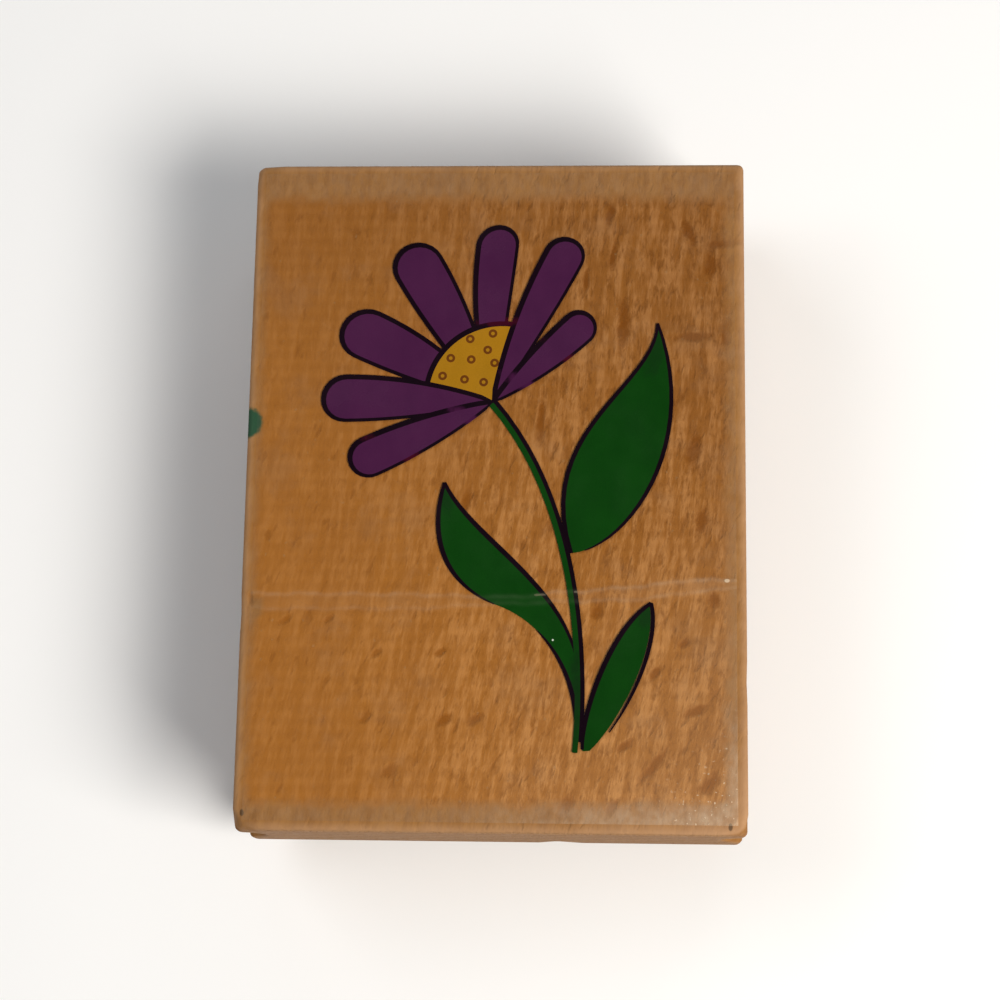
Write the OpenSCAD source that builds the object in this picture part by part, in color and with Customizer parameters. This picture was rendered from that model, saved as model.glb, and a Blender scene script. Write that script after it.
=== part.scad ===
// Wood-mounted rubber stamp with a printed daisy label.
// The stamp stands on its rubber face: Z = 0 is the printing surface of the raised lines,
// +Z points up through the cushion and the block to the label, and +Y is the top of the flower.

/* [Wood block] */
// Width of the block, across the grain
block_width = 69.85; // [66:0.05:80]
// Length of the block, along the grain
block_length = 95.25; // [92:0.05:110]
// Thickness of the block
block_height = 19.05; // [16:0.05:25]
// Radius sanded onto the edges
edge_round = 0.8; // [0.4:0.1:1.2]
// Radius of the finger cove milled along each long side
cove_radius = 7; // [5:0.5:7.5]
// Depth of the finger cove
cove_depth = 3; // [1:0.5:3.5]

/* [Label] */
// Distance from the edge of the block to the edge of the clear film
film_inset = 1.4; // [1.2:0.1:2]
// Thickness of the clear film
film_thickness = 0.1; // [0.05:0.01:0.3]
// Gap between the film's left edge and the bonded area
bond_left = 0.3; // [0.1:0.1:3]
// Gap between the film's right edge and the bonded area
bond_right = 1.2; // [0.1:0.1:3]
// Gap between the film's top edge and the bonded area
bond_top = 3.8; // [0.1:0.1:5]
// Gap between the film's bottom edge and the bonded area
bond_bottom = 2.4; // [0.1:0.1:5]
// Thickness of the adhesive under the film
bond_thickness = 0.05; // [0.03:0.01:0.1]
// Thickness of the printed ink
ink_thickness = 0.04; // [0.02:0.01:0.08]

/* [Cushion and die] */
// Thickness of the foam cushion
foam_thickness = 3.2; // [2:0.1:5]
// Whole thickness of the rubber die, raised lines included
rubber_thickness = 2.4; // [2:0.1:3.5]
// Height of the raised printing lines
relief_height = 1.1; // [0.6:0.1:1.4]
// Thickness of each layer of mounting adhesive
tape_thickness = 0.15; // [0.1:0.01:0.3]
// Margin of rubber left around the flower when the die is trimmed
trim_margin = 2.5; // [1.5:0.1:3.5]
// Smallest inside radius that the trimming shears can follow
trim_round = 4; // [2:0.5:6]

/* [Flower] */
// Width of the drawn line around the petals
line_width = 0.6; // [0.5:0.05:0.8]
// How far each petal's colour sits down and to the right within its line
pen_lean = 0.12; // [0:0.02:0.16]
// How quickly a petal widens from its root, where lower is quicker
petal_fullness = 0.8; // [0.6:0.05:1]
// Radius of the round disc that the yellow centre is a quarter of
disc_radius = 10.6; // [9.8:0.1:11.2]
// Outer radius of each small ring on the yellow centre
ring_radius = 0.62; // [0.5:0.02:0.8]
// Line width of each small ring
ring_line = 0.36; // [0.2:0.02:0.4]

/* [Hidden] */

// Heights of the layers, from the printing face up
floor_z = relief_height;
die_tape_z = rubber_thickness;
foam_z = die_tape_z + tape_thickness;
block_tape_z = foam_z + foam_thickness;
block_z = block_tape_z + tape_thickness;
bond_z = block_z + block_height;
film_z = bond_z + bond_thickness;
ink_z = film_z + film_thickness;

film_width = block_width - 2 * film_inset;
film_length = block_length - 2 * film_inset;
half_line = line_width / 2;
cut_clearance = 1;

// The petals and the stem all start from here
root = [-0.4, 12.4];
// Each petal: direction in degrees, length, tip radius, sideways bow
PETALS = [
  [205, 21.7, 2.7, 0],
  [179, 23.9, 3.15, -0.2],
  [152, 24, 3.5, -0.4],
  [119, 25.9, 3.4, -0.2],
  [88.5, 25.7, 2.75, 0.7],
  [65, 26.1, 2.65, 0.3],
  [42, 18.4, 2.3, -0.1]
];
// Petal numbers from the lowest to the one on top, with 0 for the yellow centre
STACK = [4, 3, 5, 0, 2, 6, 1, 7];
disc_centre = [0.75, 13.2];
disc_sweep = [80, 175];
RINGS = [
  [-7.5, 16.1], [-4.4, 15.6], [-1.7, 15.2], [-6.4, 18.7], [-3.5, 18.5],
  [-0.2, 18], [-3.7, 21.5], [-1.2, 19.9], [-0.5, 22.3]
];

// Bezier control points of the stem, from the flower down
STEM = [root, [12.3, -2.2], [12.9, -25], [11.9, -36.7]];
// Width of the green band, and width and drawn span of the dark line along its right side
stem_green = 0.75;
stem_line = 0.6;
stem_span = [0, 0.96];
// Each leaf side: control points from the tip down, the line's width at its start, middle and
// end, and the span of the curve that the pen has drawn
RIGHT_LEAF = [
  [[[22.7, 23.8], [22.5, 14.6], [5.1, 8.4], [10.8, -9.2]], [0.4, 0.6, 0.6], [0, 1]],
  [[[22.7, 23.8], [29, 6.3], [18.4, -8.6], [10.8, -9.2]], [0.4, 0.6, 0.15], [0, 0.92]]
];
LEFT_LEAF = [
  [[[-6.9, 0.7], [-9.3, -8], [-6, -14.2], [1.4, -16.8]], [0.5, 0.65, 0.15], [0, 0.95]],
  [[[1.4, -16.8], [8.2, -19.6], [12.8, -27.6], [11.5, -36.7]], [0.15, 0.6, 0.4], [0.26, 1]],
  [[[-6.9, 0.7], [-3.5, -6.8], [9.5, -13.2], [11.7, -24]], [0.5, 0.7, 0.3], [0, 1]]
];
SMALL_LEAF = [
  [[[21.85, -16.1], [16.2, -19.6], [12.1, -32], [12.6, -36.7]], [0.5, 0.7, 0.4], [0, 0.97]],
  [[[21.85, -16.1], [23.3, -22.2], [18, -32.6], [13.9, -36.6]], [0.5, 0.5, 0.15], [0, 0.82]]
];
// The green of the small leaf sits this far off its outline
small_leaf_slip = [-0.35, 0.2];

curve_steps = 20;
petal_steps = 14;
tip_steps = 12;

// ---- Curves ----

function along(angle) = [cos(angle), sin(angle)];
function left_of(v) = [-v[1], v[0]];
function unit(v) = v / norm(v);
function backwards(list) = [for (k = [len(list) - 1:-1:0]) list[k]];

// Point at fraction t of a cubic Bezier curve with control points c
function bezier_at(c, t) =
  pow(1 - t, 3) * c[0] + 3 * pow(1 - t, 2) * t * c[1]
  + 3 * (1 - t) * pow(t, 2) * c[2] + pow(t, 3) * c[3];

function bezier(c, span = [0, 1]) =
  [for (k = [0:curve_steps]) bezier_at(c, span[0] + (span[1] - span[0]) * k / curve_steps)];

// Direction that the curve runs in at its point k
function heading(curve, k) =
  unit(curve[min(k + 1, len(curve) - 1)] - curve[max(k - 1, 0)]);

// The curve moved sideways to its left by the distance that each point is given
function beside(curve, shift) =
  [for (k = [0:len(curve) - 1]) curve[k] + shift[k] * left_of(heading(curve, k))];

// Line width at each point of a curve, from its widths at the start, middle and end
function swell(widths) = [
  for (k = [0:curve_steps]) let (t = k / curve_steps)
    widths[0] * (1 - t) * (1 - 2 * t) + widths[1] * 4 * t * (1 - t) + widths[2] * t * (2 * t - 1)
];

// Half the width of a petal, at fraction u of the way from its root to the centre of its tip
function petal_half(u, tip) = tip * pow(sin(90 * u), petal_fullness);

// Outline of petal number n, grown outwards by grow or shrunk if it is negative
function petal_outline(n, grow) =
  let (
    petal = PETALS[n - 1], length = petal[1], tip = petal[2], bow = petal[3],
    reach = length - tip,
    first = grow < 0 ? asin(pow(-grow / tip, 1 / petal_fullness)) / 90 : 0,
    fractions = [for (k = [1:petal_steps - 1]) first + (1 - first) * k / petal_steps],
    upper = [for (u = fractions) [u * reach, petal_half(u, tip) + grow]],
    lower = [for (p = upper) [p[0], -p[1]]],
    cap = [
      for (k = [0:tip_steps])
        [reach, 0] + (tip + grow) * along(-90 + 180 * k / tip_steps)
    ],
    start = [[first * reach - max(grow, 0), 0]],
    flat = concat(start, lower, cap, backwards(upper))
  )
  [for (p = flat) place_on_petal(p, petal[0], bow * sin(180 * p[0] / length))];

// A point of a petal drawn along X, bowed sideways and turned to the petal's direction
function place_on_petal(p, angle, bow) =
  root + p[0] * along(angle) + (p[1] + bow) * left_of(along(angle));

// ---- Flat shapes of the flower ----

// Petal number n, or the yellow centre when n is 0
module flower_part(n, grow) {
  if (n == 0)
    polygon(concat([root], [
      for (k = [0:2 * tip_steps])
        disc_centre + (disc_radius + grow)
          * along(disc_sweep[0] + (disc_sweep[1] - disc_sweep[0]) * k / (2 * tip_steps))
    ]));
  else
    polygon(petal_outline(n, grow));
}

// The parts of the flower that lie over place k of the stack
module over(k) {
  if (k < len(STACK) - 1)
    for (j = [k + 1:len(STACK) - 1]) flower_part(STACK[j], half_line);
}

// The inside of petal n's line, which leans so that the line is thicker on its upper left
module inside_line(n) {
  translate(pen_lean * [1, -1]) flower_part(n, -half_line);
}

// The coloured area of petal n, where nothing covers it
module petal_area(n) {
  k = search(n, STACK)[0];
  difference() {
    inside_line(n);
    over(k);
  }
}

module petal_lines() {
  for (k = [0:len(STACK) - 1])
    difference() {
      flower_part(STACK[k], half_line);
      inside_line(STACK[k]);
      over(k);
    }
}

module flower_head() {
  for (n = STACK) flower_part(n, half_line);
}

module rings() {
  intersection() {
    for (p = RINGS)
      translate(p)
        difference() {
          circle(r = ring_radius, $fn = 24);
          circle(r = ring_radius - ring_line, $fn = 24);
        }
    petal_area(0);
  }
}

// A band beside a curve, between two sideways distances
module band(curve, near, far) {
  polygon(concat(beside(curve, near), backwards(beside(curve, far))));
}

// A pen line along a span of a curve, with its widths at the start, middle and end
module pen_line(controls, widths, span) {
  half = swell(widths) / 2;
  band(bezier(controls, span), -half, half);
}

module stem_band(near, far, span = [0, 1]) {
  steps = [0:curve_steps];
  difference() {
    band(bezier(STEM, span), [for (k = steps) near], [for (k = steps) far]);
    flower_head();
  }
}

module stem_lines() {
  stem_band(0, stem_line, stem_span);
}

module stem_area() {
  stem_band(-stem_green, 0);
}

// The area between the left side of a leaf and its right side, which is its last curve
module leaf_area(sides) {
  last = len(sides) - 1;
  left = [for (k = [0:last - 1]) each bezier(sides[k][0])];
  polygon(concat(left, backwards(bezier(sides[last][0]))));
}

module leaf_lines(sides) {
  for (side = sides) pen_line(side[0], side[1], side[2]);
}

// The green of a leaf, inside its lines and clear of the stem
module leaf_green(sides, slip) {
  difference() {
    intersection() {
      leaf_area(sides);
      translate(slip) leaf_area(sides);
    }
    leaf_lines(sides);
    stem_band(-stem_green, stem_line);
  }
}

// Every dark line of the drawing
module all_lines() {
  petal_lines();
  stem_lines();
  difference() {
    for (sides = [RIGHT_LEAF, LEFT_LEAF, SMALL_LEAF]) leaf_lines(sides);
    stem_area();
    flower_head();
  }
}

// The whole drawing as one filled shape
module silhouette() {
  flower_head();
  stem_band(-stem_green, stem_line);
  for (sides = [RIGHT_LEAF, LEFT_LEAF, SMALL_LEAF]) {
    leaf_area(sides);
    leaf_lines(sides);
  }
}

// The shape that the rubber and the foam are trimmed to
module trim_shape() {
  offset(r = -trim_round, $fn = 32)
    offset(r = trim_margin + trim_round, $fn = 32)
      silhouette();
}

module film_shape(left, right, top, bottom) {
  translate([left - film_width / 2, bottom - film_length / 2])
    square([film_width - left - right, film_length - bottom - top]);
}

// ---- Sub-parts ----

// A bar along Z, centred on the origin, with its four long edges rounded
module eased_bar(x, y, z) {
  r = edge_round;
  translate([0, 0, -z / 2])
    linear_extrude(z) {
      square([x - 2 * r, y], center = true);
      square([x, y - 2 * r], center = true);
      for (sx = [-1, 1], sy = [-1, 1])
        translate([sx * (x / 2 - r), sy * (y / 2 - r)]) circle(r = r, $fn = 32);
    }
}

module finger_cove() {
  translate([block_width / 2 + cove_radius - cove_depth, 0, 0])
    rotate([90, 0, 0])
      cylinder(r = cove_radius, h = block_length + 2 * cut_clearance, center = true, $fn = 64);
}

module wood_block() {
  color("burlywood")
    translate([0, 0, block_z + block_height / 2])
      difference() {
        intersection() {
          eased_bar(block_width, block_length, block_height);
          rotate([90, 0, 0]) eased_bar(block_width, block_height, block_length);
          rotate([0, 90, 0]) eased_bar(block_height, block_length, block_width);
        }
        finger_cove();
        mirror([1, 0, 0]) finger_cove();
      }
}

module label_adhesive() {
  color("lightyellow")
    translate([0, 0, bond_z])
      linear_extrude(bond_thickness) film_shape(bond_left, bond_right, bond_top, bond_bottom);
}

module label_film() {
  color("whitesmoke")
    translate([0, 0, film_z])
      linear_extrude(film_thickness) film_shape(0, 0, 0, 0);
}

module print_in(ink) {
  color(ink) translate([0, 0, ink_z]) linear_extrude(ink_thickness) children();
}

module petal_print(n) {
  print_in("indigo") petal_area(n);
}

module centre_print() {
  print_in("goldenrod")
    difference() {
      petal_area(0);
      rings();
    }
}

module ring_print() {
  print_in("saddlebrown") rings();
}

module stem_print() {
  print_in("darkgreen") stem_area();
}

module leaf_print(sides, slip = [0, 0]) {
  print_in("darkgreen") leaf_green(sides, slip);
}

module outline_print() {
  print_in("black") all_lines();
}

module cushion_adhesive() {
  color("gainsboro")
    translate([0, 0, block_tape_z]) linear_extrude(tape_thickness) trim_shape();
}

module foam_cushion() {
  color("dimgray")
    translate([0, 0, foam_z]) linear_extrude(foam_thickness) trim_shape();
}

module die_adhesive() {
  color("gainsboro")
    translate([0, 0, die_tape_z]) linear_extrude(tape_thickness) trim_shape();
}

module rubber_die() {
  color("indianred") {
    translate([0, 0, floor_z]) linear_extrude(rubber_thickness - relief_height) trim_shape();
    linear_extrude(relief_height) {
      all_lines();
      rings();
    }
  }
}

wood_block();
label_adhesive();
label_film();
petal_print(1);  // petal_print_1
petal_print(2);  // petal_print_2
petal_print(3);  // petal_print_3
petal_print(4);  // petal_print_4
petal_print(5);  // petal_print_5
petal_print(6);  // petal_print_6
petal_print(7);  // petal_print_7
centre_print();
ring_print();
stem_print();
leaf_print(RIGHT_LEAF);  // leaf_print_1
leaf_print(LEFT_LEAF);  // leaf_print_2
leaf_print(SMALL_LEAF, small_leaf_slip);  // leaf_print_3
outline_print();
cushion_adhesive();
foam_cushion();
die_adhesive();
rubber_die();
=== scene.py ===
import math

import bmesh
import bpy
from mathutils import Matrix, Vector


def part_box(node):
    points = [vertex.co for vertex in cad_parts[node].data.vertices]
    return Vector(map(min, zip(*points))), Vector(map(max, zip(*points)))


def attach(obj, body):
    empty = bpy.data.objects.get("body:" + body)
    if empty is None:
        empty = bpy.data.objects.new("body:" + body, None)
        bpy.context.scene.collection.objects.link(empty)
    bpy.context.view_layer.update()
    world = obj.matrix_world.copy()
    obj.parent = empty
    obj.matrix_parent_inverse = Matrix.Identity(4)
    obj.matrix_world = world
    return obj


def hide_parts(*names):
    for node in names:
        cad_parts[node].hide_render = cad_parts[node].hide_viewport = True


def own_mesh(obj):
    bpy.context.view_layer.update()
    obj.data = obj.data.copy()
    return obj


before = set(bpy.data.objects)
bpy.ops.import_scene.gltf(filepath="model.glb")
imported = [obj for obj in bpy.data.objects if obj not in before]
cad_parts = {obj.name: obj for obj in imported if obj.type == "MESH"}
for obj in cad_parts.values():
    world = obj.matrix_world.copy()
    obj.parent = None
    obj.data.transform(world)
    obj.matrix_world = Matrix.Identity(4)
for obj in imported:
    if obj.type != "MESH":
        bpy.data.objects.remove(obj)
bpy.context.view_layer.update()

MM = 0.001
BLOCK_LOW, BLOCK_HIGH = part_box("wood_block")
FILM_LOW, FILM_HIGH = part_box("label_film")
BOND_LOW, BOND_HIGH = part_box("label_adhesive")
FOAM_LOW, FOAM_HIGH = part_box("foam_cushion")
DIE_LOW, DIE_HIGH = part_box("rubber_die")
SHEET_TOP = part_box("die_adhesive")[1].z
TOP_Z = BLOCK_HIGH.z

HAIR = 0.01 * MM

# Block: the finger cove's radius, its depth into the long side and its facets, how far every
# edge is rounded, and the grid that lets the edges take bruises
COVE_RADIUS = 7 * MM
COVE_DEPTH = 3 * MM
COVE_STEPS = 14
EDGE_ROUND = 0.8 * MM
EDGE_MARGIN = 4 * MM
BLOCK_ROWS, BLOCK_COLUMNS = 32, 20

# Label: the grids of the film and the adhesive, and how ragged the adhesive's edge is
FILM_ROWS, FILM_COLUMNS = 40, 110
GLUE_ROWS, GLUE_COLUMNS = 24, 18
GLUE_RAGGED = 0.12 * MM

# Cushion: its layers, and how far its side swells
FOAM_LAYERS = 8
FOAM_SWELL = 0.22 * MM

# Die: how high its lines stand, how far they root in the sheet and how much their foot spreads
RELIEF = 1.1 * MM
RIDGE_ROOT = 0.3 * MM
RIDGE_SPREAD = 0.28 * MM

PETALS = ["petal_print_%d" % k for k in range(1, 8)]
LEAVES = ["leaf_print_%d" % k for k in range(1, 4)]


# ---- Camera, light and floor ----

# The camera's place over the middle of the film and its turn in degrees
CAMERA_PLACE = Vector((17.5, -67.5, 305)) * MM
CAMERA_TURN = (12.2, 2.93, 0.89)
CAMERA_LENS = 81
SKY_COLOUR = (0.93, 0.96, 1, 1)
SKY_STRENGTH = 0.12
# Softboxes: name, place, aim, size, power in watts and colour
SOFTBOXES = [
    ("key_box", (0.42, -0.3, 0.5), (0.01, -0.02, 0), (0.4, 0.3), 5.8, (1, 0.96, 0.9)),
    ("fill_box", (-0.5, 0.25, 0.55), (0, 0, 0), (0.6, 0.4), 1.9, (0.96, 0.98, 1)),
    ("back_box", (0.1, 0.62, 0.42), (0, 0, 0), (0.6, 0.2), 0.7, (1, 0.98, 0.95)),
]
FLOOR_WIDTH = 6
FLOOR_COLOUR = (0.92, 0.92, 0.92, 1)


def place_camera():
    camera = bpy.data.objects.new("camera", bpy.data.cameras.new("camera"))
    camera.data.sensor_width = 36
    camera.data.lens = CAMERA_LENS
    camera.location = CAMERA_PLACE + Vector((0, 0, FILM_HIGH.z))
    camera.rotation_euler = [math.radians(a) for a in CAMERA_TURN]
    camera.data.clip_start = 0.01
    bpy.context.scene.collection.objects.link(camera)
    bpy.context.scene.camera = camera


def softbox(name, place, aim, size, power, colour):
    lamp = bpy.data.lights.new(name, "AREA")
    lamp.shape = "RECTANGLE"
    lamp.size, lamp.size_y = size
    lamp.energy = power
    lamp.color = colour
    holder = bpy.data.objects.new(name, lamp)
    holder.location = place
    holder.rotation_euler = (Vector(aim) - Vector(place)).to_track_quat("-Z", "Y").to_euler()
    bpy.context.scene.collection.objects.link(holder)


def light_studio():
    world = bpy.data.worlds.new("studio")
    world.use_nodes = True
    sky = world.node_tree.nodes["Background"].inputs
    sky["Color"].default_value = SKY_COLOUR
    sky["Strength"].default_value = SKY_STRENGTH
    bpy.context.scene.world = world
    bpy.context.scene.view_settings.view_transform = "Standard"
    for box in SOFTBOXES:
        softbox(*box)


def lay_floor():
    bpy.ops.object.select_all(action="DESELECT")
    bpy.ops.mesh.primitive_plane_add(size=FLOOR_WIDTH, location=(0, 0, DIE_LOW.z))
    floor = bpy.context.object
    floor.name = "floor"
    material, tree, shader = new_finish("studio_paper")
    shader.inputs["Base Color"].default_value = FLOOR_COLOUR
    shader.inputs["Roughness"].default_value = 0.9
    floor.data.materials.append(material)


# ---- Modelling helpers ----

def pick(piece):
    if bpy.context.mode != "OBJECT":
        bpy.ops.object.mode_set(mode="OBJECT")
    bpy.ops.object.select_all(action="DESELECT")
    piece.select_set(True)
    bpy.context.view_layer.objects.active = piece


def open_edit(piece):
    pick(piece)
    bpy.ops.object.mode_set(mode="EDIT")
    bpy.ops.mesh.select_mode(type="VERT")
    bpy.ops.mesh.select_all(action="SELECT")


def close_edit():
    bpy.ops.object.mode_set(mode="OBJECT")


def choose_points(piece, wanted):
    """Selects the points of the piece in edit mode that wanted says yes to."""
    bpy.ops.mesh.select_mode(type="VERT")
    points = bmesh.from_edit_mesh(piece.data)
    for v in points.verts:
        v.select = wanted(v.co)
    points.select_flush_mode()
    bmesh.update_edit_mesh(piece.data)


def choose_faces(piece, wanted):
    """Selects the faces of the piece in edit mode that wanted says yes to."""
    bpy.ops.mesh.select_mode(type="FACE")
    faces = bmesh.from_edit_mesh(piece.data)
    for f in faces.faces:
        f.select = wanted(f)
    faces.select_flush_mode()
    bmesh.update_edit_mesh(piece.data)


def cut(where, facing):
    """Cuts the whole piece in edit mode along a plane."""
    bpy.ops.mesh.select_all(action="SELECT")
    bpy.ops.mesh.bisect(plane_co=where, plane_no=facing)


def spaced(start, end, count):
    return [start + (end - start) * k / count for k in range(count + 1)]


def take_modifier(piece, kind, **settings):
    pick(piece)
    modifier = piece.modifiers.new(kind.lower(), kind)
    for name, value in settings.items():
        setattr(modifier, name, value)
    bpy.ops.object.modifier_apply(modifier=modifier.name)


def box_from(name, low, high):
    bpy.ops.object.select_all(action="DESELECT")
    bpy.ops.mesh.primitive_cube_add(size=1, location=(low + high) / 2, scale=high - low)
    bpy.ops.object.transform_apply(location=True, rotation=True, scale=True)
    bpy.context.object.name = name
    return bpy.context.object


def sheet_from(name, low, high, height):
    bpy.ops.object.select_all(action="DESELECT")
    middle = (low + high) / 2
    size = high - low
    bpy.ops.mesh.primitive_plane_add(size=1, location=(middle.x, middle.y, height))
    piece = bpy.context.object
    piece.name = name
    piece.scale = (size.x, size.y, 1)
    bpy.ops.object.transform_apply(location=True, rotation=True, scale=True)
    return piece


def copy_of(node, name):
    """A copy of a CAD node's shape with its points merged, to model on."""
    piece = bpy.data.objects.new(name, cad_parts[node].data.copy())
    bpy.context.scene.collection.objects.link(piece)
    piece.data.materials.clear()
    open_edit(piece)
    bpy.ops.mesh.remove_doubles(threshold=HAIR / 10)
    close_edit()
    return piece


def face_only(piece, keep):
    """Keeps only the faces that keep says yes to."""
    open_edit(piece)
    choose_faces(piece, lambda f: not keep(f))
    bpy.ops.mesh.delete(type="FACE")
    close_edit()


def soften(piece, angle=35):
    pick(piece)
    bpy.ops.object.shade_smooth_by_angle(angle=math.radians(angle))


def finish_piece(piece, material, body, slot, *nodes):
    piece.data.materials.clear()
    piece.data.materials.append(material)
    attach(piece, body)
    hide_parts(*nodes)


# ---- Wood block ----

LEFT, RIGHT, NEAR, FAR = BLOCK_LOW.x, BLOCK_HIGH.x, BLOCK_LOW.y, BLOCK_HIGH.y

# Knocks along the block's edges: the place, then the push and its reach in millimetres
EDGE_BRUISES = [
    ((RIGHT, NEAR, TOP_Z), (-0.5, 0.5, -0.45), 1.8),
    ((LEFT, NEAR, TOP_Z), (0.7, 0.7, -0.5), 2.4),
    ((LEFT, FAR, TOP_Z), (0.2, -0.2, -0.2), 1.5),
    ((LEFT, NEAR + 31 * MM, TOP_Z), (0.1, 0, -0.12), 2.5),
    ((RIGHT, NEAR + 22 * MM, TOP_Z), (-0.12, 0, -0.1), 2),
    ((8 * MM, NEAR, BLOCK_LOW.z), (0, 0.3, 0.3), 2.2),
    ((RIGHT, FAR, BLOCK_LOW.z), (-0.3, -0.4, 0.4), 2),
]


def bruise(piece, place, push, reach):
    """Presses the point nearest to place, and softly what is around it."""
    open_edit(piece)
    nearest = min((v.co - Vector(place)).length for v in piece.data.vertices)
    choose_points(piece, lambda p: (p - Vector(place)).length < nearest + HAIR)
    bpy.ops.transform.translate(
        value=push, use_proportional_edit=True, proportional_edit_falloff="SMOOTH",
        proportional_size=reach)
    close_edit()


def make_block():
    block = box_from("wood_block_body", BLOCK_LOW, BLOCK_HIGH)
    middle = (BLOCK_LOW + BLOCK_HIGH) / 2
    half_angle = math.acos((COVE_RADIUS - COVE_DEPTH) / COVE_RADIUS)
    angles = spaced(-half_angle, half_angle, COVE_STEPS)
    open_edit(block)
    for angle in angles:
        cut((0, 0, middle.z + COVE_RADIUS * math.sin(angle)), (0, 0, 1))
    for angle in angles[1:-1]:
        level = middle.z + COVE_RADIUS * math.sin(angle)
        inset = COVE_RADIUS * math.cos(angle) - (COVE_RADIUS - COVE_DEPTH)
        for side in (-1, 1):
            choose_points(block, lambda p: abs(p.z - level) < HAIR and p.x * side > 0)
            bpy.ops.transform.translate(value=(-side * inset, 0, 0))
    for y in spaced(BLOCK_LOW.y, BLOCK_HIGH.y, BLOCK_ROWS)[1:-1]:
        cut((0, y, 0), (0, 1, 0))
    for x in spaced(BLOCK_LOW.x + EDGE_MARGIN, BLOCK_HIGH.x - EDGE_MARGIN, BLOCK_COLUMNS):
        cut((x, 0, 0), (1, 0, 0))
    bpy.ops.mesh.select_mode(type="EDGE")
    bpy.ops.mesh.select_all(action="DESELECT")
    bpy.ops.mesh.edges_select_sharp(sharpness=math.radians(40))
    bpy.ops.mesh.bevel(offset=EDGE_ROUND, segments=4, profile=0.5, affect="EDGES")
    close_edit()
    for place, push, reach in EDGE_BRUISES:
        bruise(block, place, Vector(push) * MM, reach * MM)
    soften(block)
    finish_piece(block, hardwood(), "block", "wood", "wood_block")


# ---- Clear label ----

# Two ridges of the fold that runs across the film: for each place along X, the Y of the upper
# and the lower ridge and how high they stand, all in millimetres
FOLD = [
    (-34, -15.1, -17.2, 0.07),
    (-12, -15.1, -17.1, 0.06),
    (2, -15.4, -16.3, 0.075),
    (12, -14.5, -15.9, 0.085),
    (20, -13.8, -15.6, 0.09),
    (27, -12.9, -14.6, 0.095),
    (34, -12.8, -13.8, 0.12),
]
# How wide a ridge is in millimetres, and how high the lower ridge and the film between the two
# stand as shares of the upper ridge
CREASE_WIDTH = 0.28
LOWER_SHARE = 0.7
BETWEEN_SHARE = 0.25
# More than the fold rises anywhere
FOLD_LIMIT = 0.25 * MM
# The rows, in millimetres along Y, that let the film and the inks bend at the fold
FOLD_ROWS = [-19 + 0.2 * k for k in range(36)]

# Where the film has come loose and curls up: the place, then the rise and its reach in millimetres
FILM_LIFTS = [
    ((FILM_HIGH.x, FILM_LOW.y, FILM_HIGH.z), 0.14, 4),
    ((FILM_LOW.x, FILM_LOW.y, FILM_HIGH.z), 0.1, 3),
    ((FILM_HIGH.x, -12.9 * MM, FILM_HIGH.z), 0.2, 1.6),
]


def fold_at(x):
    """(upper Y, lower Y, height) of the fold at x, in millimetres."""
    for left, right in zip(FOLD, FOLD[1:]):
        if x <= right[0]:
            t = min(max((x - left[0]) / (right[0] - left[0]), 0), 1)
            t = t * t * (3 - 2 * t)
            return [a + (b - a) * t for a, b in zip(left[1:], right[1:])]
    return FOLD[-1][1:]


def fold_rise(place):
    """How far the fold lifts the film at a place, in metres."""
    x, y = place.x / MM, place.y / MM
    upper, lower, height = fold_at(x)
    wander = 0.12 * math.sin(x * 0.9) + 0.07 * math.sin(x * 2.3 + 1)
    uneven = 1 + 0.35 * math.sin(x * 1.7) * math.sin(x * 0.53 + 2)
    rise = sum(
        share * math.exp(-(((y - ridge - wander) / CREASE_WIDTH) ** 2))
        for ridge, share in ((upper, 1.0), (lower, LOWER_SHARE)))
    between = BETWEEN_SHARE if lower < y < upper else 0
    return height * uneven * (rise + between * (1 - min(rise, 1))) * MM


def lift_fold(film):
    """Raises each point of the flat film by its share of the fold's limit."""
    shares = film.vertex_groups.new(name="fold_height")
    for v in film.data.vertices:
        shares.add([v.index], fold_rise(v.co) / FOLD_LIMIT, "REPLACE")
    take_modifier(
        film, "DISPLACE", direction="Z", mid_level=0, strength=FOLD_LIMIT,
        vertex_group="fold_height")
    film.vertex_groups.clear()


def mark_fold(piece):
    """Writes how strongly the fold shows at each point, which the film and the inks read."""
    tallest = max(place[3] for place in FOLD) * MM
    marks = piece.data.attributes.new("fold", "FLOAT", "POINT")
    marks.data.foreach_set("value", [fold_rise(v.co) / tallest for v in piece.data.vertices])


def cut_fold_rows():
    """Cuts the piece in edit mode along the fold, so that it can bend there."""
    for y in FOLD_ROWS:
        cut((0, y * MM, 0), (0, 1, 0))


def make_film():
    film = sheet_from("label_film_sheet", FILM_LOW, FILM_HIGH, FILM_HIGH.z)
    open_edit(film)
    cut_fold_rows()
    for y in spaced(FILM_LOW.y, FILM_HIGH.y, FILM_ROWS)[1:-1]:
        cut((0, y, 0), (0, 1, 0))
    for x in spaced(FILM_LOW.x, FILM_HIGH.x, FILM_COLUMNS)[1:-1]:
        cut((x, 0, 0), (1, 0, 0))
    close_edit()
    lift_fold(film)
    for place, rise, reach in FILM_LIFTS:
        bruise(film, place, (0, 0, rise * MM), reach * MM)
    thickness = FILM_HIGH.z - FILM_LOW.z - HAIR
    take_modifier(film, "SOLIDIFY", thickness=thickness, offset=-1)
    mark_fold(film)
    soften(film)
    finish_piece(film, clear_film(), "block", "film", "label_film")
    return film


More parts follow.
